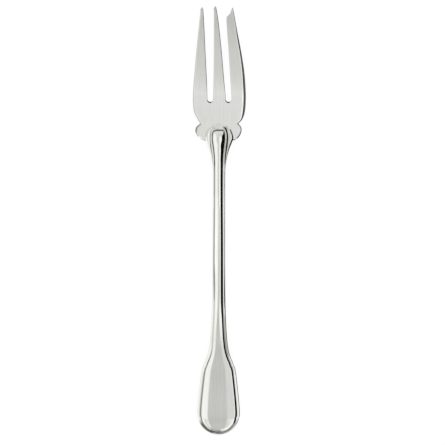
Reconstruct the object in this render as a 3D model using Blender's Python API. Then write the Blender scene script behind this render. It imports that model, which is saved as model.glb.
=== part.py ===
"""Serving fork with a hollow handle, lying on its back with the tines up.

The head is one stamping: tines, lobed shoulders and a tang. Two thin half shells, each struck
with a thread along its edge, are soldered together round the tang, which is set in cement.
The driving dimensions are in millimetres. Places along the fork are measured from the end of
the handle, and become +Y in the finished part. The origin is on the table, at mid length.
"""

import math

import bmesh
import bpy
from mathutils import Matrix, Vector

MM = 0.001
LENGTH = 240.0
GAP = 0.3

# Side view: place along the fork, height of its middle plane over the table, slope there.
# It is level at the two places where it rests, under the handle end and under the tine roots.
END_CROWN = 2.7
STEM_CROWN = 2.25
PLATE_THICKNESS = 2.0
SIDE_LINE = (
    (0.0, 3.5, -0.14),
    (8.0, END_CROWN, 0.0),
    (20.0, END_CROWN, 0.0),
    (124.0, 14.0, 0.0),
    (184.0, PLATE_THICKNESS / 2, 0.0),
    (190.0, PLATE_THICKNESS / 2, 0.0),
    (LENGTH, 12.0, 0.42),
)

# Thickness of the head stamping along the fork: thin tang, full plate, thinner tine tips
PLATE_TAPER = (
    (0.0, 1.0, 0.0),
    (146.0, 1.0, 0.0),
    (160.0, 1.8, 0.0),
    (174.0, 1.8, 0.0),
    (182.0, PLATE_THICKNESS, 0.0),
    (192.0, PLATE_THICKNESS, 0.0),
    (LENGTH, 1.2, -0.02),
)
STATION_STEP = 3.0

# Head outline, as (across, along) knots of smooth runs that meet at corners
TANG_END = 46.0
TANG_RUN = ((1.9, TANG_END), (1.0, 53.0))
RIGHT_LOBE_RUN = (
    (1.0, 152.0),
    (1.5, 156.0),
    (3.4, 160.8),
    (6.6, 164.5),
    (8.2, 165.2),
    (9.85, 165.95),
    (11.2, 167.3),
    (12.1, 168.9),
    (12.6, 170.6),
    (12.55, 172.1),
    (11.9, 173.4),
    (10.75, 174.5),
)
WIDE_TINE_OUTER_RUN = (
    (10.75, 174.5),
    (13.0, 177.2),
    (14.3, 180.8),
    (14.9, 187.0),
    (14.8, 194.0),
    (14.0, 204.0),
    (12.25, 215.0),
    (10.2, 225.4),
    (8.0, 237.0),
    (7.7, 238.8),
)
WIDE_TINE_TIP_RUN = ((7.7, 238.8), (7.3, 239.3), (6.9, 238.9))
CUT_TIP_RUN = ((6.9, 238.9), (6.3, 237.3), (5.5, 236.0), (4.0, 234.4))
WIDE_TINE_INNER_RUN = ((4.0, 234.4), (3.85, 232.0), (5.15, 215.0))
MIDDLE_TINE_CURVED_RUN = ((2.75, 198.3), (1.29, 215.1), (-0.56, 231.9), (-1.75, 239.2))
MIDDLE_TINE_TIP_RUN = ((-1.75, 239.2), (-2.45, LENGTH), (-3.15, 239.2))
MIDDLE_TINE_STRAIGHT_RUN = ((-3.15, 239.2), (-3.2, 205.0), (-3.3, 194.0))
LEFT_TINE_INNER_RUN = ((-6.95, 197.0), (-7.85, 215.0), (-8.5, 229.0), (-9.1, 238.6))
LEFT_TINE_TIP_RUN = ((-9.1, 238.6), (-9.85, 239.4), (-10.55, 238.7))
LEFT_TINE_OUTER_RUN = (
    (-10.55, 238.7),
    (-12.0, 225.0),
    (-13.0, 215.0),
    (-13.95, 204.0),
    (-14.75, 193.0),
    (-14.9, 187.0),
    (-14.15, 180.8),
    (-12.2, 177.0),
    (-10.85, 174.5),
)
LEFT_LOBE_RUN = (
    (-10.85, 174.5),
    (-12.35, 173.4),
    (-13.1, 172.2),
    (-13.5, 170.6),
    (-13.0, 168.8),
    (-11.9, 166.95),
    (-10.3, 165.9),
    (-8.6, 165.1),
    (-6.6, 164.3),
    (-3.4, 160.8),
    (-1.5, 156.0),
    (-1.0, 152.0),
)
SLOT_RADIUS = 1.62
SLOT_ROOT_ALONG = 188.5
RIGHT_SLOT_ACROSS = 5.15
LEFT_SLOT_ACROSS = -5.12
SLOT_ARC_STEPS = 8
OUTLINE_STEPS = 3

# Handle outline on one side, from the middle of its round end to the middle of its mouth
END_RADIUS = 11.95
END_ARC_STEPS = 6
HANDLE_SIDE_KNOTS = (
    (11.5, 18.6),
    (10.3, 30.0),
    (9.4, 36.4),
    (8.15, 40.0),
    (6.65, 43.6),
    (5.6, 47.2),
    (4.8, 53.0),
    (4.1, 63.0),
    (3.7, 75.0),
    (3.52, 92.0),
    (3.45, 108.0),
    (3.42, 124.0),
    (3.4, 138.0),
    (3.42, 147.0),
)
MOUTH_EDGE_KNOTS = (
    (3.7, 151.0),
    (4.5, 156.0),
    (5.8, 160.2),
    (7.15, 163.8),
    (7.55, 166.8),
    (6.75, 170.6),
    (4.9, 173.2),
    (2.6, 174.8),
    (0.0, 175.3),
)
MOUTH_THREAD_KNOTS = (
    (3.55, 151.0),
    (3.95, 156.0),
    (4.5, 160.2),
    (5.05, 164.0),
    (5.15, 167.0),
    (4.7, 169.8),
    (3.4, 172.1),
    (1.85, 173.3),
    (0.0, 173.7),
)
MOUTH_PANEL_KNOTS = (
    (2.05, 151.0),
    (2.35, 156.0),
    (2.8, 160.2),
    (3.25, 164.0),
    (3.35, 167.0),
    (3.3, 169.4),
    (2.85, 170.6),
    (1.7, 171.05),
    (0.0, 171.1),
)
CEMENT_END_KNOTS = ((3.5, 150.0), (3.4, 154.0), (2.2, 157.0), (0.0, 158.0))
HANDLE_STEPS = 2

# Section of a handle half. Heights are over the seam plane, insets are in from an outline.
WALL_TOP = 1.3
THREAD_FOOT_INSET = 0.06
THREAD_FOOT_HEIGHT = 1.36
THREAD_SHOULDER_INSET = 0.3
THREAD_SHOULDER_HEIGHT = 1.53
THREAD_CREST_SHARE = 0.75
THREAD_CREST_HEIGHT = 1.62
GROOVE_INSET = 1.5
GROOVE_HEIGHT = 1.3
PANEL_WALL_WIDTH = 0.85
PANEL_EDGE_HEIGHT = 1.95
MIDDLE_STRIP = 0.45
SHELL_WALL = 0.5
INNER_WALL_TOP = 0.75
CEMENT_INSET = 0.85
CEMENT_SIDE_HEIGHT = 0.4

# The halves swell towards the mouth to clear the plate. The crown is higher on the broad end
# than on the stem, and fades at both ends of the panel.
MOUTH_SWELL = 0.35
SWELL_START = 147.0
SWELL_END = 162.0
CROWN_STEP_START = 30.0
CROWN_STEP_END = 62.0
CROWN_FADE = 5.0

SILVER_COLOUR = (0.90, 0.89, 0.86, 1.0)
SILVER_ROUGHNESS = 0.08
CEMENT_COLOUR = (0.42, 0.36, 0.28, 1.0)
CEMENT_ROUGHNESS = 0.9
SMOOTH_ANGLE = math.radians(28)


def along_curve(knots, along):
    """Value at a place along the fork, from knots of (place, value, slope)."""
    for (start, low, slope_in), (end, high, slope_out) in zip(knots, knots[1:]):
        if along <= end or end == knots[-1][0]:
            break
    span = end - start
    t = max(0.0, (along - start) / span)
    rise = high - low
    return low + rise * t * t * (3 - 2 * t) + span * t * (1 - t) * (slope_in * (1 - t) - slope_out * t)


def ease(value):
    """Smooth step from 0 to 1."""
    value = max(0.0, min(1.0, value))
    return value * value * (3 - 2 * value)


def smooth_run(knots, steps, before=None, after=None):
    """Points on a smooth curve through knots; before and after lead it in and out."""
    knots = [Vector(k) for k in knots]
    lead = [Vector(before)] if before else [2 * knots[0] - knots[1]]
    tail = [Vector(after)] if after else [2 * knots[-1] - knots[-2]]
    full = lead + knots + tail
    points = []
    for p0, p1, p2, p3 in zip(full, full[1:], full[2:], full[3:]):
        span = (p2 - p1).length
        slope_in = (p2 - p0) * span / (span + (p1 - p0).length)
        slope_out = (p3 - p1) * span / (span + (p3 - p2).length)
        for step in range(steps):
            t = step / steps
            curve = p1 + (p2 - p1) * t * t * (3 - 2 * t)
            points.append(curve + t * (1 - t) * (slope_in * (1 - t) - slope_out * t))
    points.append(knots[-1])
    return points


def slot_root(across):
    """Round bottom of the slot between two tines, from its right side to its left."""
    turns = [math.pi * step / SLOT_ARC_STEPS for step in range(SLOT_ARC_STEPS + 1)]
    return [
        Vector((across + SLOT_RADIUS * math.cos(t), SLOT_ROOT_ALONG - SLOT_RADIUS * math.sin(t)))
        for t in turns
    ]


def head_outline():
    """Closed outline of the head and its tang, anticlockwise from the end of the tang."""
    tang = [Vector(p) for p in TANG_RUN]
    runs = (
        tang,
        smooth_run(RIGHT_LOBE_RUN, OUTLINE_STEPS),
        smooth_run(WIDE_TINE_OUTER_RUN, OUTLINE_STEPS),
        smooth_run(WIDE_TINE_TIP_RUN, OUTLINE_STEPS),
        smooth_run(CUT_TIP_RUN, OUTLINE_STEPS),
        smooth_run(WIDE_TINE_INNER_RUN, OUTLINE_STEPS),
        slot_root(RIGHT_SLOT_ACROSS),
        smooth_run(MIDDLE_TINE_CURVED_RUN, OUTLINE_STEPS),
        smooth_run(MIDDLE_TINE_TIP_RUN, OUTLINE_STEPS),
        smooth_run(MIDDLE_TINE_STRAIGHT_RUN, 1),
        slot_root(LEFT_SLOT_ACROSS),
        smooth_run(LEFT_TINE_INNER_RUN, OUTLINE_STEPS),
        smooth_run(LEFT_TINE_TIP_RUN, OUTLINE_STEPS),
        smooth_run(LEFT_TINE_OUTER_RUN, OUTLINE_STEPS),
        smooth_run(LEFT_LOBE_RUN, OUTLINE_STEPS),
        [Vector((-p.x, p.y)) for p in reversed(tang)],
    )
    outline = []
    for point in (p for run in runs for p in run):
        if not outline or (point - outline[-1]).length > GAP / 10:
            outline.append(point)
    return outline


def material(name, colour, roughness, metallic):
    """A plain Principled material."""
    made = bpy.data.materials.new(name)
    made.use_nodes = True
    shader = made.node_tree.nodes["Principled BSDF"]
    shader.inputs["Base Color"].default_value = colour
    shader.inputs["Roughness"].default_value = roughness
    shader.inputs["Metallic"].default_value = metallic
    return made


def finish(bm, name, collection, surface=None):
    """Turn a millimetre mesh into a named object in metres, with its origin at mid length."""
    bmesh.ops.recalc_face_normals(bm, faces=bm.faces)
    bm.transform(Matrix.Scale(MM, 4) @ Matrix.Translation((0.0, -LENGTH / 2, 0.0)))
    mesh = bpy.data.meshes.new(name)
    bm.to_mesh(mesh)
    bm.free()
    mesh.shade_smooth()
    mesh.set_sharp_from_angle(angle=SMOOTH_ANGLE)
    made = bpy.data.objects.new(name, mesh)
    collection.objects.link(made)
    if surface:
        mesh.materials.append(surface)
    else:
        made.hide_render = True
        made.display_type = "WIRE"
    return made


def head_plate(name, collection, surface=None, grow=0.0):
    """The head stamping, or with grow a larger copy that cuts its room out of other pieces."""
    flat = bpy.data.curves.new(name + "_outline", "CURVE")
    flat.dimensions = "2D"
    flat.fill_mode = "BOTH"
    flat.extrude = PLATE_THICKNESS / 2
    flat.bevel_depth = grow
    flat.bevel_resolution = 0
    outline = head_outline()
    spline = flat.splines.new("POLY")
    spline.points.add(len(outline) - 1)
    for spot, point in zip(spline.points, outline):
        spot.co = (point.x, point.y, 0.0, 1.0)
    spline.use_cyclic_u = True
    guide = bpy.data.objects.new(name + "_outline", flat)
    collection.objects.link(guide)
    evaluated = guide.evaluated_get(bpy.context.evaluated_depsgraph_get())
    flat_mesh = bpy.data.meshes.new_from_object(evaluated)
    bm = bmesh.new()
    bm.from_mesh(flat_mesh)
    bpy.data.objects.remove(guide)
    bpy.data.curves.remove(flat)
    bpy.data.meshes.remove(flat_mesh)
    bmesh.ops.remove_doubles(bm, verts=bm.verts, dist=GAP / 100)

    station = TANG_END + STATION_STEP
    while station < LENGTH:
        everything = bm.verts[:] + bm.edges[:] + bm.faces[:]
        bmesh.ops.bisect_plane(bm, geom=everything, plane_co=(0, station, 0), plane_no=(0, 1, 0))
        station += STATION_STEP

    half = PLATE_THICKNESS / 2
    for vertex in bm.verts:
        along = vertex.co.y
        in_plate = max(-half, min(half, vertex.co.z))
        thinned = in_plate * along_curve(PLATE_TAPER, along) / PLATE_THICKNESS
        vertex.co.z += along_curve(SIDE_LINE, along) + thinned - in_plate
    return finish(bm, name, collection, surface)


def body_knots():
    """Knots of one side of the handle, without its mouth."""
    turns = [math.pi / 2 * step / END_ARC_STEPS for step in range(END_ARC_STEPS + 1)]
    arc = [END_RADIUS * Vector((math.sin(t), 1 - math.cos(t))) for t in turns]
    return arc + [Vector(k) for k in HANDLE_SIDE_KNOTS]


def half_outline(knots):
    """One side of a handle outline, with its end and its mouth square to the middle line."""
    before = (-knots[1][0], knots[1][1])
    after = (-knots[-2][0], knots[-2][1])
    return smooth_run(knots, HANDLE_STEPS, before, after)


def inset(half, distance):
    """A half outline moved inwards, square to its own run."""
    first = Vector((-half[1].x, half[1].y))
    last = Vector((-half[-2].x, half[-2].y))
    full = [first] + list(half) + [last]
    moved = []
    for before, point, after in zip(full, full[1:], full[2:]):
        run = (after - before).normalized()
        moved.append(point + distance * Vector((-run.y, run.x)))
    return moved


def ring(half, height, swell=0.0):
    """Closed loop of a half outline and its mirror image, at a height over the seam plane."""
    right = [
        Vector((p.x, p.y, height + swell * ease((p.y - SWELL_START) / (SWELL_END - SWELL_START))))
        for p in half
    ]
    left = [Vector((-p.x, p.y, p.z)) for p in reversed(right[1:-1])]
    return right + left


def skin(bm, rings, side):
    """Faces from ring to ring; side turns a front half into a back half. Returns the end rows."""
    rows = [[bm.verts.new((p.x, p.y, side * p.z)) for p in loop] for loop in rings]
    for lower, upper in zip(rows, rows[1:]):
        for i, vertex in enumerate(lower):
            bm.faces.new((lower[i - 1], vertex, upper[i], upper[i - 1]))
    return rows[0], rows[-1]


def crown_rise(along):
    """How far the middle of a panel stands over its edges."""
    step = ease((along - CROWN_STEP_START) / (CROWN_STEP_END - CROWN_STEP_START))
    return END_CROWN + (STEM_CROWN - END_CROWN) * step - PANEL_EDGE_HEIGHT


def close_panel(bm, row, side):
    """Close a row with rungs from side to side, whose middle strip stands on a crown."""
    end = len(row) // 2
    first, last = row[0], row[end]
    before = (first,) * 4
    for i in range(1, end):
        right, left = row[i], row[-i]
        along = right.co.y
        fade = ease((along - first.co.y) / CROWN_FADE) * ease((last.co.y - along) / CROWN_FADE)
        height = right.co.z + side * crown_rise(along) * fade
        strip = MIDDLE_STRIP * right.co.x
        rung = (right, bm.verts.new((strip, along, height)), bm.verts.new((-strip, along, height)), left)
        close_rungs(bm, before, rung)
        before = rung
    close_rungs(bm, before, (last,) * 4)


def close_rungs(bm, before, after):
    """Faces between two neighbouring rungs, which may have shrunk to a point."""
    for k in range(3):
        corners = (before[k], after[k], after[k + 1], before[k + 1])
        bm.faces.new(list(dict.fromkeys(corners)))


def lay_on_side_line(bm):
    """Lift a flat-built piece onto the fork's side line."""
    for vertex in bm.verts:
        vertex.co.z += along_curve(SIDE_LINE, vertex.co.y)


def handle_shell(name, collection, surface, room, side):
    """One struck half of the handle: a thin shell open at the seam, notched for the plate."""
    body = body_knots()
    thread_knots = body + [Vector(k) for k in MOUTH_THREAD_KNOTS]
    panel_knots = inset(thread_knots, GROOVE_INSET)[:len(body)] + [Vector(k) for k in MOUTH_PANEL_KNOTS]
    edge = half_outline(body + [Vector(k) for k in MOUTH_EDGE_KNOTS])
    thread = half_outline(thread_knots)
    panel = half_outline(panel_knots)
    panel_edge = inset(panel, PANEL_WALL_WIDTH)
    inner_edge = inset(edge, SHELL_WALL)
    crest = [t.lerp(p, THREAD_CREST_SHARE) for t, p in zip(thread, panel)]
    rings = [
        ring(panel_edge, PANEL_EDGE_HEIGHT - SHELL_WALL, MOUTH_SWELL),
        ring(panel, GROOVE_HEIGHT - SHELL_WALL, MOUTH_SWELL),
        ring(inner_edge, INNER_WALL_TOP, MOUTH_SWELL),
        ring(inner_edge, GAP / 2),
        ring(edge, GAP / 2),
        ring(edge, WALL_TOP, MOUTH_SWELL),
        ring(inset(thread, THREAD_FOOT_INSET), THREAD_FOOT_HEIGHT, MOUTH_SWELL),
        ring(inset(thread, THREAD_SHOULDER_INSET), THREAD_SHOULDER_HEIGHT, MOUTH_SWELL),
        ring(crest, THREAD_CREST_HEIGHT, MOUTH_SWELL),
        ring(panel, GROOVE_HEIGHT, MOUTH_SWELL),
        ring(panel_edge, PANEL_EDGE_HEIGHT, MOUTH_SWELL),
    ]
    bm = bmesh.new()
    inner, outer = skin(bm, rings, side)
    close_panel(bm, inner, side)
    close_panel(bm, outer, side)
    lay_on_side_line(bm)
    shell = finish(bm, name, collection, surface)
    cut_room(shell, room)


def cement_core(name, collection, surface, room):
    """Cement cast inside the two shells, with a slot that holds the tang."""
    outline = half_outline(body_knots() + [Vector(k) for k in CEMENT_END_KNOTS])
    clearance = SHELL_WALL + GAP
    front = [
        ring(inset(outline, GROOVE_INSET + PANEL_WALL_WIDTH), PANEL_EDGE_HEIGHT - clearance),
        ring(inset(outline, GROOVE_INSET), GROOVE_HEIGHT - clearance),
        ring(inset(outline, CEMENT_INSET), CEMENT_SIDE_HEIGHT),
    ]
    back = [[Vector((p.x, p.y, -p.z)) for p in loop] for loop in reversed(front)]
    bm = bmesh.new()
    top, bottom = skin(bm, front + back, 1)
    close_panel(bm, top, 1)
    close_panel(bm, bottom, -1)
    lay_on_side_line(bm)
    core = finish(bm, name, collection, surface)
    cut_room(core, room)


def cut_room(piece, room):
    """Cut the room that the head takes up out of a piece."""
    cut = piece.modifiers.new("room for the head", "BOOLEAN")
    cut.operation = "DIFFERENCE"
    cut.object = room


for old in list(bpy.data.objects):
    bpy.data.objects.remove(old)
fork = bpy.data.collections.new("serving_fork")
cutters = bpy.data.collections.new("cutters")
for group in (fork, cutters):
    bpy.context.scene.collection.children.link(group)

silver = material("polished silver plate", SILVER_COLOUR, SILVER_ROUGHNESS, 1.0)
cement = material("handle cement", CEMENT_COLOUR, CEMENT_ROUGHNESS, 0.0)
head_room = head_plate("head_room", cutters, grow=GAP)
head_plate("fork_head", fork, silver)
handle_shell("handle_front_shell", fork, silver, head_room, 1)
handle_shell("handle_back_shell", fork, silver, head_room, -1)
cement_core("cement_core", fork, cement, head_room)
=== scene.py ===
import math

import bpy
import numpy as np
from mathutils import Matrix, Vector


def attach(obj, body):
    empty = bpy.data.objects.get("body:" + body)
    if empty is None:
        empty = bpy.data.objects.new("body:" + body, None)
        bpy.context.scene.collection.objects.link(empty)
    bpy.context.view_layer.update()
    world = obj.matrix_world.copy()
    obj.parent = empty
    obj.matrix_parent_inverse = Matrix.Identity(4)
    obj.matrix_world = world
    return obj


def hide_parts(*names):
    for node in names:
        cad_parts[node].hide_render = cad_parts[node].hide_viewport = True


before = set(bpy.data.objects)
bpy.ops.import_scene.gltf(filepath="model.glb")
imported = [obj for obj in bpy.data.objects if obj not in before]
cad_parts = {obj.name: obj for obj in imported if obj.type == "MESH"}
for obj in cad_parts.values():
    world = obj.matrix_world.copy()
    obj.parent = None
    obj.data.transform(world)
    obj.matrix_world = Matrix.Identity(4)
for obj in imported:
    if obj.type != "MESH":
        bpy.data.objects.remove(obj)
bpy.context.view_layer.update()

# Head: one stamping of plated metal with three tines, two lobes below its waist, and a tang that is
# cemented inside the handle. The wide tine's outer edge is filed to a long soft slope, the other edges
# are only broken, and the slots between the tines are sawn.
MM = 0.001
LENGTH = 240.0  # in millimetres, as all sizes of the fork; places along it count from the handle's end
# Height of the middle of the metal, and thickness of the plate: place along the fork, value, slope
SIDE_LINE = (
    (0.0, 3.5, -0.14),
    (8.0, 2.7, 0.0),
    (20.0, 2.7, 0.0),
    (124.0, 14.0, 0.0),
    (184.0, 1.0, 0.0),
    (190.0, 1.0, 0.0),
    (LENGTH, 12.0, 0.42),
)
PLATE_TAPER = (
    (0.0, 1.0, 0.0),
    (146.0, 1.0, 0.0),
    (160.0, 1.8, 0.0),
    (174.0, 1.8, 0.0),
    (182.0, 2.0, 0.0),
    (192.0, 2.0, 0.0),
    (LENGTH, 1.2, -0.02),
)
# Runs of the outline, round from the right corner of the tang: across and along
TANG_TIP = 46.0
TANG_FLARE = ((1.9, TANG_TIP), (1.0, 53.0))
TANG_SIDE = ((1.0, 53.0), (1.0, 152.0))
RIGHT_LOBE = (
    (1.0, 152.0), (1.5, 156.0), (3.4, 160.8), (6.6, 164.5), (8.2, 165.2), (9.85, 165.95), (11.2, 167.3),
    (12.1, 168.9), (12.6, 170.6), (12.55, 172.1), (11.9, 173.4), (10.75, 174.5),
)
WIDE_TINE_OUTER = (
    (10.75, 174.5), (13.0, 177.2), (14.3, 180.8), (14.88, 187.0), (14.8, 194.0), (14.0, 204.0),
    (12.25, 215.0), (10.2, 225.4), (8.0, 237.0), (7.7, 238.8),
)
WIDE_TINE_TIP = ((7.7, 238.8), (7.3, 239.3), (6.9, 238.9))
CUT_TIP = ((6.9, 238.9), (6.3, 237.3), (5.5, 236.0), (4.0, 234.4))
WIDE_TINE_INNER = ((4.0, 234.4), (3.85, 232.0), (5.15, 215.0), (6.8, 190.7))
MIDDLE_TINE_CURVED = ((3.5, 190.7), (2.75, 198.3), (1.29, 215.1), (-0.56, 231.9), (-1.75, 239.2))
MIDDLE_TINE_TIP = ((-1.75, 239.2), (-2.45, LENGTH), (-3.15, 239.2))
MIDDLE_TINE_STRAIGHT = ((-3.15, 239.2), (-3.2, 205.0), (-3.5, 190.7))
LEFT_TINE_INNER = ((-6.74, 190.7), (-6.95, 197.0), (-7.85, 215.0), (-8.5, 229.0), (-9.1, 238.6))
LEFT_TINE_TIP = ((-9.1, 238.6), (-9.85, 239.4), (-10.55, 238.7))
LEFT_TINE_OUTER = (
    (-10.55, 238.7), (-12.0, 225.0), (-13.0, 215.0), (-13.95, 204.0), (-14.75, 193.0),
    (-14.87, 187.0), (-14.15, 180.8), (-12.2, 177.0), (-10.85, 174.5),
)
LEFT_LOBE = (
    (-10.85, 174.5), (-12.35, 173.4), (-13.1, 172.2), (-13.5, 170.6), (-13.0, 168.8), (-11.9, 166.95),
    (-10.3, 165.9), (-8.6, 165.1), (-6.6, 164.3), (-3.4, 160.8), (-1.5, 156.0), (-1.0, 152.0),
)
TANG_END = ((-1.9, TANG_TIP), (1.9, TANG_TIP))
RIGHT_SLOT = 5.15
LEFT_SLOT = -5.12
SLOT_RADIUS = 1.62
SLOT_ROOT = 188.5
SLOT_STEPS = 24


def along_curve(knots, along):
    """Value at a place along the fork, from knots of (place, value, slope)."""
    for (start, low, slope_in), (end, high, slope_out) in zip(knots, knots[1:]):
        if along <= end or end == knots[-1][0]:
            break
    span = end - start
    t = max(0.0, (along - start) / span)
    rise = high - low
    return low + rise * t * t * (3 - 2 * t) + span * t * (1 - t) * (slope_in * (1 - t) - slope_out * t)


def level(stops, along):
    """A value that eases from stop to stop along the fork, from stops of (place, value)."""
    if along <= stops[0][0]:
        return stops[0][1]
    for (start, low), (end, high) in zip(stops, stops[1:]):
        if along <= end:
            t = (along - start) / (end - start)
            return low + (high - low) * t * t * (3 - 2 * t)
    return stops[-1][1]


def smooth_run(knots, steps, before=None, after=None):
    """Points on a smooth curve through knots, with so many steps in each span."""
    knots = [Vector(k) for k in knots]
    lead = [Vector(before)] if before else [2 * knots[0] - knots[1]]
    tail = [Vector(after)] if after else [2 * knots[-1] - knots[-2]]
    full = lead + knots + tail
    points = []
    for p0, p1, p2, p3, count in zip(full, full[1:], full[2:], full[3:], steps):
        span = (p2 - p1).length
        slope_in = (p2 - p0) * span / (span + (p1 - p0).length)
        slope_out = (p3 - p1) * span / (span + (p3 - p2).length)
        for step in range(count):
            t = step / count
            curve = p1 + (p2 - p1) * t * t * (3 - 2 * t)
            points.append(curve + t * (1 - t) * (slope_in * (1 - t) - slope_out * t))
    return points + [knots[-1]]


def fine_steps(knots, spacing):
    """How many steps each span needs to come out about spacing long."""
    spans = [(Vector(b) - Vector(a)).length for a, b in zip(knots, knots[1:])]
    return [max(2, round(span / spacing)) for span in spans]


def mirrored(run):
    """The same run on the other side of the fork, walked the other way."""
    return tuple((-x, y) for x, y in reversed(run))


def slot_root(across):
    """Round bottom of a sawn slot, from its right side to its left."""
    turns = [math.pi * step / SLOT_STEPS for step in range(SLOT_STEPS + 1)]
    return [(across + SLOT_RADIUS * math.cos(t), SLOT_ROOT - SLOT_RADIUS * math.sin(t)) for t in turns]


def softened(values):
    """Values round the outline, each averaged with its neighbours."""
    return (np.roll(values, 1) + 2 * values + np.roll(values, -1)) / 4


MERGE_GAP = 0.002


def wrapped_sheet(name, rings):
    """A grid laid on rings of points in millimetres, closed round into one piece.

    Each point is its place across, along and up, and how much painted shade and tarnish darken it there.
    """
    bpy.ops.object.select_all(action="DESELECT")
    bpy.ops.mesh.primitive_grid_add(x_subdivisions=len(rings[0]), y_subdivisions=len(rings) - 1)
    sheet = bpy.context.object
    sheet.name = name
    places, shade_and_tarnish_values = [], []
    for ring in rings:
        for x, along, z, shade_and_tarnish in list(ring) + [ring[0]]:
            places += (x * MM, (along - LENGTH / 2) * MM, z * MM)
            shade_and_tarnish_values.append(shade_and_tarnish)
    sheet.data.vertices.foreach_set("co", places)
    sheet.data.attributes.new("shade_and_tarnish", "FLOAT", "POINT").data.foreach_set("value", shade_and_tarnish_values)
    bpy.ops.object.mode_set(mode="EDIT")
    bpy.ops.mesh.select_all(action="SELECT")
    bpy.ops.mesh.remove_doubles(threshold=MERGE_GAP * MM)
    return sheet


# How each kind of edge falls: the tilt of the long bevel over its width in degrees, and the slope of
# the plain chamfers, which run into the flat with a soft round
BEVEL_TILTS = ((0.0, 0.0), (0.5, 17.0), (0.6, 31.0), (1.0, 35.0))
BEVEL_POINTS = 51
CHAMFER_FALL = 0.6
LOBE_FALL = 0.75
CHAMFER_ROUND = 0.2
EDGE_STEPS = 12
EDGE_SIDE = 0.06
FLAT_RIM = 0.15
# Widths of the edges along the fork
TANG_EDGE = ((0.0, 0.1),)
RIGHT_LOBE_EDGE = ((0.0, 0.75),)
LEFT_LOBE_EDGE = ((0.0, 1.15),)
BEVEL_EDGE = ((175.0, 0.9), (181.0, 2.2), (196.0, 2.3), (218.0, 1.6), (232.0, 0.7))
TIP_EDGE = ((0.0, 0.4),)
BROKEN_EDGE = ((0.0, 0.3),)
SLOT_EDGE = ((187.1, 0.95), (187.9, 0.2))
SLOT_SIDE_EDGE = ((190.0, 0.2), (200.0, 0.4))
LEFT_EDGE = ((178.0, 1.2), (194.0, 0.9), (215.0, 0.5))
# Each run with the width of its edge, how steeply that falls, or 0 for the long bevel of the wide
# tine, and the spacing of its points, or none for a run that is points already
runs = (
    (TANG_FLARE, TANG_EDGE, CHAMFER_FALL, 2.0),
    (TANG_SIDE, TANG_EDGE, CHAMFER_FALL, 2.0),
    (RIGHT_LOBE, RIGHT_LOBE_EDGE, LOBE_FALL, 0.35),
    (WIDE_TINE_OUTER, BEVEL_EDGE, 0, 0.35),
    (WIDE_TINE_TIP, TIP_EDGE, CHAMFER_FALL, 0.12),
    (CUT_TIP, BROKEN_EDGE, CHAMFER_FALL, 0.25),
    (WIDE_TINE_INNER, BROKEN_EDGE, CHAMFER_FALL, 0.5),
    (slot_root(RIGHT_SLOT), SLOT_EDGE, CHAMFER_FALL, None),
    (MIDDLE_TINE_CURVED, SLOT_SIDE_EDGE, CHAMFER_FALL, 0.5),
    (MIDDLE_TINE_TIP, TIP_EDGE, CHAMFER_FALL, 0.12),
    (MIDDLE_TINE_STRAIGHT, BROKEN_EDGE, CHAMFER_FALL, 0.5),
    (slot_root(LEFT_SLOT), SLOT_EDGE, CHAMFER_FALL, None),
    (LEFT_TINE_INNER, SLOT_SIDE_EDGE, CHAMFER_FALL, 0.5),
    (LEFT_TINE_TIP, TIP_EDGE, CHAMFER_FALL, 0.12),
    (LEFT_TINE_OUTER, LEFT_EDGE, CHAMFER_FALL, 0.35),
    (LEFT_LOBE, LEFT_LOBE_EDGE, LOBE_FALL, 0.35),
    (mirrored(TANG_SIDE), TANG_EDGE, CHAMFER_FALL, 2.0),
    (mirrored(TANG_FLARE), TANG_EDGE, CHAMFER_FALL, 2.0),
    (TANG_END, TANG_EDGE, CHAMFER_FALL, 2.0),
)
CLOSEST_POINTS = 0.05
outline, edge_width, steep, bevel = [], [], [], []
for knots, widths, edge_fall, spacing in runs:
    run = smooth_run(knots, fine_steps(knots, spacing)) if spacing else [Vector(k) for k in knots]
    for point in run:
        if outline and min((point - outline[-1]).length, (point - outline[0]).length) < CLOSEST_POINTS:
            continue
        outline.append(point)
        edge_width.append(level(widths, point.y))
        steep.append(edge_fall)
        bevel.append(0.0 if edge_fall else 1.0)
outline = np.array([tuple(p) for p in outline])
edge_width = np.array(edge_width)
steep = np.array(steep)
bevel = np.array(bevel)
heading = np.roll(outline, -1, 0) - np.roll(outline, 1, 0)
heading /= np.linalg.norm(heading, axis=1)[:, None]
inward = np.stack((-heading[:, 1], heading[:, 0]), 1)
# Room inside each point of the outline: the radius of the largest circle that touches it from within
TOUCHING = 0.001
room = np.zeros(len(outline))
for i in range(len(outline)):
    away = outline - outline[i]
    depth = away @ inward[i]
    inside = depth > TOUCHING
    room[i] = (np.sum(away[inside] ** 2, 1) / (2 * depth[inside])).min()
SOFTENINGS = 12
for softening in range(SOFTENINGS):
    edge_width = softened(edge_width)
    bevel = softened(bevel)
    steep = softened(steep)
    room = np.minimum(room, softened(room))
EDGE_SHARE = 0.7
RIM_SHARE = 0.1
edge_width = np.minimum(edge_width, EDGE_SHARE * room)
flat_rim = np.minimum(FLAT_RIM, RIM_SHARE * room)
half_thick = np.array([along_curve(PLATE_TAPER, y) / 2 for y in outline[:, 1]])
reach = np.linspace(0.0, 1.0, BEVEL_POINTS)
bevel_tilts = np.interp(reach, *zip(*BEVEL_TILTS))
bevel_fall = np.cumsum(np.tan(np.radians(bevel_tilts))) * reach[1]
# Rings of the upper side from the edge inwards: how far in each point lies, and how high
top = []
for step in range(EDGE_STEPS + 1):
    out = math.cos(math.pi / 2 * step / EDGE_STEPS)
    chamfer = out - CHAMFER_ROUND / 2 if out > CHAMFER_ROUND else out ** 2 / (2 * CHAMFER_ROUND)
    fall = bevel * np.interp(out, reach, bevel_fall) + steep * chamfer
    top.append(((1 - out) * edge_width, half_thick - edge_width * fall))
top.insert(0, (0 * room, top[0][1] - EDGE_SIDE))
top.append((edge_width + flat_rim, half_thick))
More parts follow.
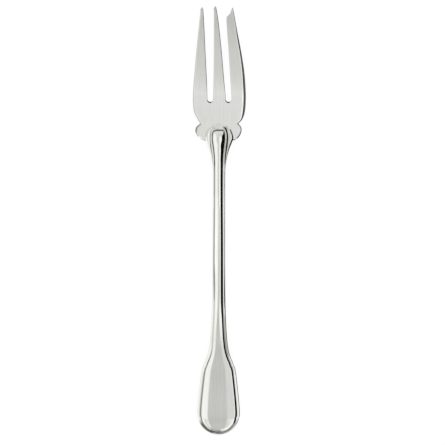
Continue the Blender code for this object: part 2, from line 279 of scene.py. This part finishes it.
# Painted shadow in the corner between the right lobe and the handle: full near it and gone further off
CORNER = (8.1, 165.2)
CORNER_REACH = (0.5, 1.4)
CORNER_DEPTH = 0.5
corner_shade = np.interp(np.linalg.norm(outline - CORNER, axis=1), CORNER_REACH, (1.0, 0.0))
rings = []
for way_in, height in [(a, -z) for a, z in reversed(top)] + top:
    spots = outline + inward * way_in[:, None]
    # Painted shadow on the upper edge rows near the corner
    shade_and_tarnish = corner_shade * (way_in < CORNER_DEPTH) * (height > 0)
    rings.append([(x, y, z, t) for (x, y), z, t in zip(spots, height, shade_and_tarnish)])
head = wrapped_sheet("head", rings)
# The flat of each side is filled, and cut across so that it can follow the side line
MANY_SIDES = 60
CUT_SPACING = 1.5
bpy.ops.mesh.select_all(action="SELECT")
bpy.ops.mesh.fill_holes(sides=0)
bpy.ops.mesh.select_all(action="DESELECT")
bpy.ops.mesh.select_face_by_sides(number=MANY_SIDES, type="GREATER", extend=False)
bpy.ops.mesh.hide(unselected=True)
for station in np.arange(TANG_TIP + 1, LENGTH - 1, CUT_SPACING):
    bpy.ops.mesh.select_all(action="SELECT")
    bpy.ops.mesh.bisect(plane_co=(0, (station - LENGTH / 2) * MM, 0), plane_no=(0, 1, 0))
bpy.ops.mesh.reveal()
bpy.ops.mesh.select_all(action="SELECT")
bpy.ops.mesh.normals_make_consistent(inside=False)
bpy.ops.object.mode_set(mode="OBJECT")
for vertex in head.data.vertices:
    vertex.co.z += along_curve(SIDE_LINE, vertex.co.y / MM + LENGTH / 2) * MM
CREASE = math.radians(40)
bpy.ops.object.shade_smooth_by_angle(angle=CREASE)


def linear(code):
    """An sRGB hex colour as linear light."""
    parts = [int(code[i:i + 2], 16) / 255 for i in (1, 3, 5)]
    return tuple(c / 12.92 if c <= 0.04045 else ((c + 0.055) / 1.055) ** 2.4 for c in parts) + (1.0,)


def add_node(tree, kind, links=(), settings=(), **values):
    """Add a node with its settings, its input values and its links."""
    node = tree.nodes.new(kind)
    for name, value in dict(settings).items():
        setattr(node, name, value)
    for name, value in values.items():
        node.inputs[name.replace("_", " ")].default_value = value
    for socket, source in dict(links).items():
        tree.links.new(source, node.inputs[socket])
    return node


# Bright silver with long faint polishing marks, drawn about 1 mm wide because the real ones are
# too fine to see here, cloudy patches of handling, and brown-grey darkening in the recesses and along some
# lines, partly tarnish and partly painted shade and painted dark reflections.
MARK_WIDTH = 1.0
MARK_LENGTH = 22.2
MARK_DEPTH = 0.02
CLOUD_SIZE = 9.1
silver = bpy.data.materials.new("polished silver plate")
silver.use_nodes = True
tree = silver.node_tree
shader = tree.nodes["Principled BSDF"]
shader.inputs["Metallic"].default_value = 1.0
place = add_node(tree, "ShaderNodeTexCoord").outputs["Object"]
fineness = [1 / (size * MM) for size in (MARK_WIDTH, MARK_LENGTH, MARK_WIDTH)]
drawn_out = add_node(tree, "ShaderNodeMapping", {"Vector": place}, Scale=fineness)
marks = add_node(tree, "ShaderNodeTexNoise", {"Vector": drawn_out.outputs[0]}, Scale=1.0, Detail=4.0)
clouds = add_node(tree, "ShaderNodeTexNoise", {"Vector": place}, Scale=1 / (CLOUD_SIZE * MM), Detail=3.0)
bright = add_node(tree, "ShaderNodeValToRGB", {"Fac": marks.outputs["Fac"]})
bright.color_ramp.elements[0].position = 0.3
bright.color_ramp.elements[0].color = linear("#F2F3ED")
bright.color_ramp.elements[1].position = 0.7
bright.color_ramp.elements[1].color = linear("#F9FAF5")
low = add_node(tree, "ShaderNodeAttribute", settings={"attribute_name": "shade_and_tarnish"})
metal = add_node(
    tree, "ShaderNodeMix", {0: low.outputs["Fac"], 6: bright.outputs["Color"]}, {"data_type": "RGBA"},
)
# Brown-grey that the metal darkens to, both as tarnish and as painted shade and painted dark reflections
metal.inputs[7].default_value = linear("#6E6A60")
haze = add_node(tree, "ShaderNodeMapRange", {"Value": clouds.outputs["Fac"]}, To_Min=0.05, To_Max=0.1)
relief = add_node(
    tree, "ShaderNodeBump", {"Height": marks.outputs["Fac"]}, Strength=0.1, Distance=MARK_DEPTH * MM,
)
tree.links.new(metal.outputs[2], shader.inputs["Base Color"])
tree.links.new(haze.outputs[0], shader.inputs["Roughness"])
tree.links.new(relief.outputs[0], shader.inputs["Normal"])
head.data.materials.clear()
head.data.materials.append(silver)
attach(head, "root")
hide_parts("fork_head")

# Handle halves: two thin struck shells of the same plated metal, soldered edge to edge round the
# tang. Each has a raised thread along its edge, a groove, and a panel that is broad and gently
# domed at the handle's end and a narrow rib on the stem, with a square end at the mouth.
SHELL_WALL = 0.5
PANEL_WALL = 0.45
END_RADIUS = 11.95
END_STEPS = 6
SIDE = (
    (11.5, 18.6), (10.3, 30.0), (9.4, 36.4), (8.15, 40.0), (6.65, 43.6), (5.6, 47.2), (4.8, 53.0),
    (4.1, 63.0), (3.7, 75.0), (3.52, 92.0), (3.45, 108.0), (3.42, 124.0), (3.4, 138.0), (3.42, 147.0),
)
# Lines of the mouth on the plate: the edge, the foot of the thread and the foot of the panel
MOUTH_EDGE = (
    (3.7, 151.0), (4.5, 156.0), (5.7, 160.2), (7.1, 163.8), (7.95, 166.4), (7.65, 168.6), (6.65, 170.8),
    (4.9, 173.2), (2.6, 174.8), (0.0, 175.3),
)
MOUTH_THREAD = (
    (3.4, 151.0), (3.65, 156.0), (4.0, 160.2), (4.4, 163.9), (4.55, 166.6), (4.35, 168.9), (3.9, 171.0),
    (3.0, 172.5), (1.6, 173.4), (0.0, 173.7),
)
MOUTH_PANEL = (
    (2.2, 151.0), (2.37, 156.0), (2.8, 160.2), (3.38, 164.0), (3.6, 166.8), (3.4, 168.6), (3.05, 169.8),
    (2.6, 170.5), (1.5, 170.77), (0.0, 170.8),
)


def inset(half_run, distances):
    """A run from middle line to middle line moved inwards, square to itself."""
    ends = [Vector((-half_run[1][0], half_run[1][1])), Vector((-half_run[-2][0], half_run[-2][1]))]
    full = ends[:1] + [Vector(p) for p in half_run] + ends[1:]
    moved = []
    for before, point, after, distance in zip(full, full[1:], full[2:], distances):
        run = (after - before).normalized()
        moved.append(point + distance * Vector((-run.y, run.x)))
    return moved


def half_outline(knots, steps):
    """One side of an outline that crosses the middle line squarely at both ends."""
    return smooth_run(knots, steps, (-knots[1][0], knots[1][1]), (-knots[-2][0], knots[-2][1]))


# How far the foot of the panel lies inside the outline, and how far where the moulding is full size
GROOVE_INSET = (
    (0.0, 0.9), (4.0, 1.2), (12.0, 1.5), (48.0, 1.45), (63.0, 1.35), (85.0, 1.15), (112.0, 1.12),
    (132.0, 1.25),
)
FULL_MOULDING = 1.5
# Where the moulding has the section of the handle's end or of the neck, and the painted shade and tarnish of
# either
BROAD = ((74.0, 1.0), (98.0, 0.0))
END_SHADE_AND_TARNISH = ((40.0, 1.0), (56.0, 0.3), (84.0, 0.3), (100.0, 0.0))
NECK = ((146.0, 0.0), (154.0, 1.0))
NECK_SHADE_AND_TARNISH = ((149.0, 0.0), (151.5, 1.0))
# Rim at the neck: the width that its section needs in full, and the heights up to which the edge and
# the thread close up where the rim is narrower
FULL_RIM = 2.2
BRIMS = (1.375, 1.385, 0.0)
# How much higher the shell stands at the mouth, the height of its seam, which there lies on the plate,
# and the height of the lip inside the seam, which stays at least a gap above it
SWELL = ((147.0, 0.0), (162.0, 0.35))
SEAM = ((164.4, 0.05), (165.8, 0.92))
LIP_HEIGHT = 0.75
LIP_GAP = 0.02
# Wall of the panel along the fork, its width and tilt, and the tilt of the dome where it starts, with
# tilts in degrees
WALL_WIDTH = (
    (2.0, 0.8), (10.0, 1.25), (24.0, 1.15), (50.0, 1.1), (65.0, 1.0), (90.0, 1.0), (148.0, 1.0),
    (158.0, 1.25), (163.0, 1.9), (167.6, 2.3), (169.4, 1.2), (170.3, 0.5),
)
WALL_TILT = (
    (36.0, 20.5), (60.0, 24.5), (158.0, 24.5), (164.0, 21.0), (168.0, 20.0), (169.2, 24.0), (170.3, 40.0),
)
DOME_TILT = (
    (0.0, 4.0), (2.5, 11.0), (52.0, 11.5), (80.0, 24.0), (162.0, 25.0), (166.0, 16.0), (169.8, 0.5),
)
# Sections of the moulding at the handle's end, on the stem and at the neck: how far in each row
# lies, how high, and how much painted shade and tarnish darken it there. Edge rows count from the outline,
# thread rows
# from the thread's foot, and groove rows outwards from the foot of the panel.
END_SECTION = (
    (
        (0.0, 1.05, 0.0), (0.05, 1.14, 0.0), (0.1, 1.165, 0.0), (0.3, 1.252, 0.0), (0.4, 1.28, 0.0),
        (0.46, 1.297, 0.0),
    ),
    (
        (0.52, 1.313, 0.0), (0.6, 1.335, 0.0), (0.68, 1.357, 0.0), (0.78, 1.384, 0.0), (0.86, 1.405, 0.0),
        (0.9, 1.415, 0.0), (0.92, 1.42, 0.0),
    ),
    (
        (0.56, 1.42, 0.0), (0.5, 1.41, 0.0), (0.4, 1.393, 0.0), (0.28, 1.372, 0.0), (0.12, 1.345, 0.15),
        (0.0, 1.325, 0.5),
    ),
)
STEM_SECTION = (
    (
        (0.0, 1.05, 0.0), (0.05, 1.14, 0.0), (0.1, 1.165, 0.0), (0.28, 1.25, 0.0), (0.4, 1.284, 0.0),
        (0.46, 1.298, 0.0),
    ),
    (
        (0.48, 1.303, 0.0), (0.49, 1.306, 0.0), (0.5, 1.309, 0.0), (0.51, 1.312, 0.0), (0.52, 1.315, 0.0),
        (0.53, 1.318, 0.0), (0.54, 1.32, 0.0),
    ),
    (
        (0.8, 1.32, 0.0), (0.78, 1.316, 0.0), (0.57, 1.236, 0.1), (0.36, 1.158, 0.1), (0.15, 1.15, 0.1),
        (0.0, 1.148, 0.1),
    ),
)
NECK_SECTION = (
    (
        (0.0, 0.85, 0.0), (0.04, 0.94, 0.0), (0.1, 0.97, 0.0), (0.45, 1.135, 0.0), (0.95, 1.36, 0.0),
        (1.05, 1.375, 0.0),
    ),
    (
        (-1.1, 1.27, 0.0), (-0.95, 1.23, 0.1), (-0.75, 1.145, 0.4), (-0.6, 1.14, 0.5), (-0.1, 1.36, 0.4),
        (0.36, 1.55, 0.1), (0.4, 1.56, 0.0),
    ),
    (
        (0.74, 1.565, 0.0), (0.73, 1.56, 0.0), (0.7, 1.545, 0.1), (0.64, 1.515, 0.2), (0.2, 1.31, 0.4),
        (0.0, 1.29, 0.5),
    ),
)
# Heights of the same rows where the mouth's arch runs out on the plate, where each group does so, and
# where its painted shade and tarnish end
ARCH_HEIGHTS = (
    (0.98, 0.985, 0.995, 1.05, 1.13, 1.16),
    (1.18, 1.205, 1.245, 1.275, 1.385, 1.51, 1.52),
    (1.87, 1.865, 1.85, 1.82, 1.71, 1.66),
)
ARCH_MELT = (((168.0, 0.0), (174.4, 1.0)), ((170.5, 0.0), (173.5, 1.0)), ((169.9, 0.0), (170.7, 1.0)))
ARCH_NO_DARKENING = (((164.0, 0.0), (171.0, 1.0)), ((168.0, 0.0), (171.5, 1.0)), ((175.0, 0.0), (176.0, 1.0)))
# Painted shade and tarnish round the bottom of the handle's end, and along the panel's square end, there
# in the wall and in the groove rows that are nearer than this to its foot
FOOT_SHADE_AND_TARNISH = ((3.0, 0.9), (9.0, 0.0))
SQUARE_END = ((169.7, 0.0), (170.4, 1.0))
SQUARE_NEAR = 0.5
# Painted shade on one side only, dark lines that stand in for dark reflections: the first row and
# the one after the last, whether on the right, and how much along the fork. Rows 8 to 13 are the
# edge's, 14 to 20 the thread's, 21 to 26 the groove's, and 27 is the first of the wall's.
ONE_SIDED_SHADE = (
    (8, 13, True, ((163.8, 0.0), (165.2, 1.0), (166.8, 1.0), (168.2, 0.0))),
    (17, 21, True, ((151.0, 0.0), (152.2, 1.0), (172.2, 1.0), (173.2, 0.0))),
    (8, 27, True, ((42.0, 0.0), (46.0, 0.5), (64.0, 0.5), (72.0, 0.0))),
    (13, 27, True, ((0.5, 0.0), (1.5, 0.6), (6.0, 0.6), (9.0, 0.0))),
    (11, 27, False, ((0.5, 0.0), (1.2, 1.0), (5.2, 1.0), (8.5, 0.0))),
    (21, 28, False, ((46.0, 0.0), (52.0, 0.4), (74.0, 0.4), (78.0, 0.8), (88.0, 0.8), (98.0, 0.2))),
)
# Rows of the panel's wall: share of its width, and painted shade and tarnish at the end, on the stem
# and at the neck.
# The wall rises from its foot and eases into the dome past its top.
WALL_ROWS = (
    (0.06, 0.8, 0.0, 0.2), (0.15, 0.9, 0.0, 0.0), (0.35, 0.9, 0.0, 0.0), (0.6, 0.5, 0.0, 0.0),
    (0.85, 0.0, 0.0, 0.0), (0.94, 0.0, 0.0, 0.0), (1.0, 0.0, 0.0, 0.0),
)
WALL_FOOT = 0.1
WALL_TOP = 0.85
# Rows of the dome, as shares of the way out from the middle, and those that the hollow repeats
DOME_SHARES = (0.97, 0.93, 0.87, 0.8, 0.7, 0.58, 0.45, 0.3, 0.15, 0.0)
HOLLOW_ROWS = (-1, -4, -7, -11)
# Shallow nicks in the rim: place, depth and width
NICKS = ((39.0, 0.2, 0.8), (8.75, 0.3, 0.6))
RIM_SPACING = 0.45
turns = [math.pi / 2 * step / END_STEPS for step in range(END_STEPS + 1)]
body = [(END_RADIUS * math.sin(t), END_RADIUS * (1 - math.cos(t))) for t in turns] + list(SIDE)
edge_knots = body + list(MOUTH_EDGE)
thread_knots = body + list(MOUTH_THREAD)
groove_in = [level(GROOVE_INSET, y) for x, y in thread_knots]
panel_knots = [tuple(p) for p in inset(thread_knots, groove_in)[:len(body)]] + list(MOUTH_PANEL)
steps = fine_steps(edge_knots, RIM_SPACING)
edge, thread, panel = (half_outline(knots, steps) for knots in (edge_knots, thread_knots, panel_knots))
nicks = [sum(deep * math.exp(-((p.y - at) / wide) ** 2) for at, deep, wide in NICKS) for p in edge]
plain_panel = panel
edge, thread, panel = (inset(run, nicks) for run in (edge, thread, panel))
wall = [level(WALL_WIDTH, p.y) for p in panel]
count = len(edge)


def shell_rings():
    """Rings of one half, from the middle of its hollow round the seam to the middle of its panel."""
    broad = [level(BROAD, p.y) for p in edge]
    neck = [level(NECK, p.y) for p in edge]
    end_shade_and_tarnish = [level(END_SHADE_AND_TARNISH, p.y) for p in edge]
    neck_shade_and_tarnish = [level(NECK_SHADE_AND_TARNISH, p.y) for p in edge]
    foot = [level(FOOT_SHADE_AND_TARNISH, p.y) for p in edge]
    square = [level(SQUARE_END, p.y) for p in panel]
    swell = [level(SWELL, p.y) for p in edge]
    seam = [level(SEAM, p.y) for p in edge]
    narrow = [min(1.0, level(GROOVE_INSET, p.y) / FULL_MOULDING) for p in edge]
    fit = [min(1.0, (p - q).length / FULL_RIM) for p, q in zip(edge, thread)]
    plain = [1.0] * count
    no_darkening = [0.0] * count
    rows = []

    def between(at_end, on_stem, at_neck, end_share, neck_share):
        """A value of the stem with its share of what the end and the neck have."""
        shares = zip(at_neck, end_share, neck_share)
        return [on_stem + (at_end - on_stem) * e + (value - on_stem) * n for value, e, n in shares]

    def lay(spots, heights, shade_and_tarnish):
        """Add one row of points."""
        rows.append([(p.x, p.y, h, t) for p, h, t in zip(spots, heights, shade_and_tarnish)])

    lip = inset(edge, [SHELL_WALL] * count)
    lay(lip, [max(LIP_HEIGHT + s, z + LIP_GAP) for s, z in zip(swell, seam)], no_darkening)
    lay(lip, seam, no_darkening)
    lay(edge, seam, no_darkening)
    groups = zip((edge, thread, panel), (1, 1, -1), BRIMS, END_SECTION, STEM_SECTION, NECK_SECTION)
    for (run, sign, brim, *sections), arch, melt, bare in zip(groups, ARCH_HEIGHTS, ARCH_MELT, ARCH_NO_DARKENING):
        gone = [level(melt, p.y) for p in run]
        kept = [1 - level(bare, p.y) for p in run]
        for end_row, stem_row, neck_row, arch_height in zip(*sections, arch):
            close = fit if neck_row[1] <= brim else plain
            distances = between(end_row[0], stem_row[0], [neck_row[0] * c for c in close], broad, neck)
            tops = [brim - (brim - neck_row[1]) * c for c in close]
            heights = between(end_row[1], stem_row[1], tops, broad, neck)
            # Painted shade and tarnish of the row, at the end, on the stem and at the neck
            shade_and_tarnish = between(end_row[2], stem_row[2], [neck_row[2]] * count, end_shade_and_tarnish, neck_shade_and_tarnish)
            shade_and_tarnish = [max(t, f) if end_row[2] else t for t, f in zip(shade_and_tarnish, foot)]
            if run is panel and neck_row[0] < SQUARE_NEAR:
                shade_and_tarnish = [max(t, s) for t, s in zip(shade_and_tarnish, square)]
            spots = inset(run, [sign * d * t for d, t in zip(distances, narrow)])
            heights = [h + s + (arch_height - h - s) * g for h, s, g in zip(heights, swell, gone)]
            lay(spots, heights, [t * k for t, k in zip(shade_and_tarnish, kept)])
    groove = [z for x, y, z, t in rows[-1]]
    shoulder = inset(plain_panel, wall)
    wall_tilts = [math.radians(level(WALL_TILT, p.y)) for p in shoulder]
    dome_tilts = [math.radians(level(DOME_TILT, p.y)) for p in shoulder]
    height = list(groove)
    before = 0.0
    for share, at_end, on_stem, at_neck in WALL_ROWS:
        middle = (before + share) / 2
        lift = min(1.0, middle / WALL_FOOT)
        ease = max(0.0, (middle - WALL_TOP) / (1 - WALL_TOP))
        for i in range(count):
            tilt = wall_tilts[i] * lift * (1 - ease) + dome_tilts[i] * ease
            height[i] += math.tan(tilt) * (share - before) * wall[i]
        # Painted shade and tarnish of the wall row
        shade_and_tarnish = between(at_end, on_stem, [at_neck] * count, end_shade_and_tarnish, neck_shade_and_tarnish)
        shade_and_tarnish = [max(t, f) if at_end else t for t, f in zip(shade_and_tarnish, foot)]
        shade_and_tarnish = [max(t, s * (1 - share)) for t, s in zip(shade_and_tarnish, square)]
        lay([p.lerp(q, share) for p, q in zip(panel, shoulder)], height, shade_and_tarnish)
        before = share
    for share in DOME_SHARES:
        rows.append([
            (p.x * share, p.y, h + 0.5 * math.tan(t) * p.x * (1 - share * share), 0.0)
            for p, h, t in zip(shoulder, height, dome_tilts)
        ])
    hollow = [[(x, y, z - PANEL_WALL, 0.0) for x, y, z, t in rows[k]] for k in HOLLOW_ROWS]
    hollow.append([(p.x, p.y, g - SHELL_WALL, 0.0) for p, g in zip(panel, groove)])
    return hollow + rows


def handle_half(name, node, side):
    """One struck half, front (1) or back (-1)."""
    rings = []
    for row in shell_rings():
        right = [(x, y, along_curve(SIDE_LINE, y) + side * z, t) for x, y, z, t in row]
        rings.append(right + [(-x, y, z, t) for x, y, z, t in reversed(right[1:-1])])
    # Painted shade on one side of the fork only, standing in for dark reflections
    for first, last, on_right, stops in ONE_SIDED_SHADE:
        points = slice(0, count) if on_right else slice(count, None)
        for ring in rings[first:last]:
            ring[points] = [(x, y, z, max(t, level(stops, y))) for x, y, z, t in ring[points]]
    shell = wrapped_sheet(name, rings)
    bpy.ops.mesh.select_all(action="SELECT")
    bpy.ops.mesh.normals_make_consistent(inside=False)
    bpy.ops.object.mode_set(mode="OBJECT")
    bpy.ops.object.shade_smooth_by_angle(angle=CREASE)
    shell.data.materials.clear()
    shell.data.materials.append(silver)
    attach(shell, "root")
    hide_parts(node)


handle_half("front_half", "handle_front_shell", 1)
handle_half("back_half", "handle_back_shell", -1)

# Cement: a brown mix of resin and whiting that was poured round the tang and set hard, and holds the
# handle on the head. The shells hide it, so the solid stays as it is and only gets a material.
GRAIN_SIZE = 1.1
# Matt and grainy, with paler specks of whiting in the brown
cement = bpy.data.materials.new("handle cement")
cement.use_nodes = True
tree = cement.node_tree
shader = tree.nodes["Principled BSDF"]
shader.inputs["Roughness"].default_value = 0.9
place = add_node(tree, "ShaderNodeTexCoord").outputs["Object"]
grain = add_node(tree, "ShaderNodeTexNoise", {"Vector": place}, Scale=1 / (GRAIN_SIZE * MM), Detail=6.0)
tone = add_node(tree, "ShaderNodeValToRGB", {"Fac": grain.outputs["Fac"]})
tone.color_ramp.elements[0].position = 0.3
tone.color_ramp.elements[0].color = linear("#8C7A62")
tone.color_ramp.elements[1].position = 0.7
tone.color_ramp.elements[1].color = linear("#B7A78C")
tree.links.new(tone.outputs["Color"], shader.inputs["Base Color"])
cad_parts["cement_core"].data.materials.clear()
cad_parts["cement_core"].data.materials.append(cement)

# Stage: a pale floor that keeps the fork's soft shadow, a wide diffusion panel overhead that only the
# metal sees, and a white surround. The zones of grey on the panel and its black right side give the
# silver its bands. Sizes of the stage are in metres.
FLOOR_SIZE = 4.0
FLOOR_HEIGHT = -0.0003
FLOOR_GLOW = 0.88
bpy.ops.object.select_all(action="DESELECT")
bpy.ops.mesh.primitive_plane_add(size=FLOOR_SIZE, location=(0, 0, FLOOR_HEIGHT))
floor = bpy.context.object
floor.name = "floor"
# Matt white that looks plain white to the camera and lights the fork from below only half as much
pale = bpy.data.materials.new("pale studio floor")
pale.use_nodes = True
tree = pale.node_tree
tree.nodes.clear()
matt = add_node(tree, "ShaderNodeBsdfDiffuse", Color=linear("#FAFAFA"))
seen = add_node(tree, "ShaderNodeLightPath").outputs["Is Camera Ray"]
power = add_node(tree, "ShaderNodeMapRange", {"Value": seen}, To_Min=0.5, To_Max=1.03)
glow = add_node(tree, "ShaderNodeEmission", {"Strength": power.outputs[0]})
both = add_node(tree, "ShaderNodeMixShader", {1: matt.outputs[0], 2: glow.outputs[0]}, Fac=FLOOR_GLOW)
add_node(tree, "ShaderNodeOutputMaterial", {"Surface": both.outputs[0]})
floor.data.materials.append(pale)

PANEL_HEIGHT = 0.4
PANEL_ACROSS = (-0.7, 0.64)
PANEL_ALONG = (-0.75, 0.7)
bpy.ops.mesh.primitive_plane_add(size=1.0)
overhead = bpy.context.object
overhead.name = "overhead_panel"
for vertex, (y, x) in zip(overhead.data.vertices, [(y, x) for y in PANEL_ALONG for x in PANEL_ACROSS]):
    vertex.co = (x, y, PANEL_HEIGHT)
overhead.visible_camera = False
overhead.visible_diffuse = False
overhead.visible_shadow = False
# White cloth lit from behind, with patches of grey that meet in soft edges
cloth = bpy.data.materials.new("overhead diffusion panel")
cloth.use_nodes = True
tree = cloth.node_tree
tree.nodes.clear()
place = add_node(tree, "ShaderNodeTexCoord").outputs["Object"]
axes = add_node(tree, "ShaderNodeSeparateXYZ", {"Vector": place})
GIVEN_BACK = 0.93


def grey(tone):
    """Light that a tone of 0 to 255 in the picture calls for, off metal that gives back most of it."""
    return tuple(c / GIVEN_BACK for c in linear("#" + "%02X" % tone * 3)[:3]) + (1.0,)


def zones(socket, low, high, stops):
    """A colour ramp over a stretch of the panel, in metres, from stops of (place, tone)."""
    share = add_node(tree, "ShaderNodeMapRange", {"Value": socket}, From_Min=low, From_Max=high)
    ramp = add_node(tree, "ShaderNodeValToRGB", {"Fac": share.outputs[0]})
    steps = ramp.color_ramp.elements
    while len(steps) < len(stops):
        steps.new(1.0)
    for step, (spot, tone) in zip(steps, stops):
        step.position = (spot - low) / (high - low)
        step.color = grey(tone)
    return ramp.outputs["Color"]


def within(socket, start, end, soft):
    """A mask that is 1 between two places and falls to 0 over a soft edge."""
    value = {"Value": socket}
    low = add_node(tree, "ShaderNodeMapRange", value, From_Min=start - soft, From_Max=start + soft)
    high = add_node(tree, "ShaderNodeMapRange", value, From_Min=end + soft, From_Max=end - soft)
    product = {0: low.outputs[0], 1: high.outputs[0]}
    return add_node(tree, "ShaderNodeMath", product, {"operation": "MULTIPLY"}).outputs[0]


lengthwise = zones(
    axes.outputs["Y"], -0.45, 0.45,
    (
        (-0.3, 150), (-0.262, 160), (-0.235, 176), (-0.182, 187), (-0.135, 194), (-0.06, 201),
        (0.012, 206), (0.065, 217),
    ),
)
rightwise = zones(axes.outputs["X"], 0.0, PANEL_ACROSS[1], ((0.28, 246), (0.288, 0)))
# Each patch of the panel, over those before it: where it lies across and along, and its tone. A place
# of 1 metre is past the panel's edge.
SOFT_ACROSS = 0.004
SOFT_ALONG = 0.01
patches = (
    ((-1.0, 0.175), (-0.19, 0.07), grey(212)),
    ((-1.0, 0.09), (-0.19, 0.07), lengthwise),
    ((-1.0, 0.044), (-1.0, -0.19), lengthwise),
    ((-1.0, 0.044), (0.07, 0.36), lengthwise),
    ((-1.0, 0.25), (0.36, 1.0), lengthwise),
    ((-0.38, -0.032), (0.07, 0.36), grey(203)),
    ((-1.0, -0.155), (-1.0, -0.19), grey(246)),
    ((-1.0, -0.112), (-0.19, 0.07), grey(242)),
    ((-1.0, -0.385), (-0.19, 0.07), grey(255)),
    ((-1.0, -0.54), (-0.2, 0.07), grey(203)),
    ((-1.0, -0.21), (0.07, 0.18), grey(250)),
    ((-1.0, -0.31), (0.18, 0.42), grey(245)),
    ((-1.0, -0.2), (0.42, 1.0), grey(195)),
    ((-1.0, -0.3), (-1.0, -0.2), grey(253)),
    ((-1.0, 0.2), (0.5, 1.0), grey(210)),
    ((0.2, 1.0), (-1.0, -0.29), grey(195)),
    ((-1.0, 1.0), (-1.0, -0.36), grey(185)),
    ((-0.05, 0.12), (-0.47, -0.36), grey(70)),
)
light = rightwise
for (left, right), (near, far), colour in patches:
    masks = {
        0: within(axes.outputs["X"], left, right, SOFT_ACROSS),
        1: within(axes.outputs["Y"], near, far, SOFT_ALONG),
    }
    mask = add_node(tree, "ShaderNodeMath", masks, {"operation": "MULTIPLY"})
    layer = add_node(tree, "ShaderNodeMix", {0: mask.outputs[0], 6: light}, {"data_type": "RGBA"})
    if isinstance(colour, tuple):
        layer.inputs[7].default_value = colour
    else:
        tree.links.new(colour, layer.inputs[7])
    light = layer.outputs[2]
lamp = add_node(tree, "ShaderNodeEmission", {"Color": light}, Strength=1.0)
add_node(tree, "ShaderNodeOutputMaterial", {"Surface": lamp.outputs[0]})
overhead.data.materials.append(cloth)

# The surround is plain white, but the metal sees it in greys: from left to right, one set of tones
# near the floor and another above, which meet over a narrow band of heights
LOW_TONES = ((0.1, 140), (0.3, 175), (0.5, 165), (0.8, 135))
HIGH_TONES = ((0.26, 200), (0.36, 80), (0.6, 55), (0.8, 95))
BAND = (0.31, 0.35)
world = bpy.data.worlds.new("white surround")
bpy.context.scene.world = world
world.use_nodes = True
tree = world.node_tree
tree.nodes.clear()
seen = add_node(tree, "ShaderNodeLightPath").outputs["Is Glossy Ray"]
white = add_node(tree, "ShaderNodeBackground", Color=linear("#FFFFFF"), Strength=1.0)
place = add_node(tree, "ShaderNodeTexCoord").outputs["Generated"]
axes = add_node(tree, "ShaderNodeSeparateXYZ", {"Vector": place})
across = add_node(tree, "ShaderNodeMapRange", {"Value": axes.outputs["X"]}, From_Min=-1.0, From_Max=1.0)
above = add_node(tree, "ShaderNodeMapRange", {"Value": axes.outputs["Z"]}, From_Min=BAND[0], From_Max=BAND[1])
mixed = {0: above.outputs[0]}
for socket, stops in ((6, LOW_TONES), (7, HIGH_TONES)):
    ramp = add_node(tree, "ShaderNodeValToRGB", {"Fac": across.outputs[0]})
    for spot, tone in stops:
        ramp.color_ramp.elements.new(spot).color = grey(tone)
    ramp.color_ramp.elements.remove(ramp.color_ramp.elements[-1])
    ramp.color_ramp.elements.remove(ramp.color_ramp.elements[0])
    mixed[socket] = ramp.outputs["Color"]
joined = add_node(tree, "ShaderNodeMix", mixed, {"data_type": "RGBA"})
greys = add_node(tree, "ShaderNodeBackground", {"Color": joined.outputs[2]}, Strength=1.0)
choice = add_node(tree, "ShaderNodeMixShader", {0: seen, 1: white.outputs[0], 2: greys.outputs[0]})
add_node(tree, "ShaderNodeOutputWorld", {"Surface": choice.outputs[0]})

# Camera: a long lens 2.1 metres straight above the fork, whose tines point up the picture. It stands
# a little to the side of the fork's middle and is turned by a trace, as it was for the photo.
CAMERA_PLACE = (0.00196, -0.001, 2.0873)
CAMERA_TURN = 0.0023
LENS = 300.0
SENSOR = 36.0
bpy.ops.object.camera_add(location=CAMERA_PLACE, rotation=(0, 0, CAMERA_TURN))
camera = bpy.context.object
camera.data.lens = LENS
camera.data.sensor_width = SENSOR
bpy.context.scene.camera = camera
bpy.context.scene.view_settings.view_transform = "Standard"
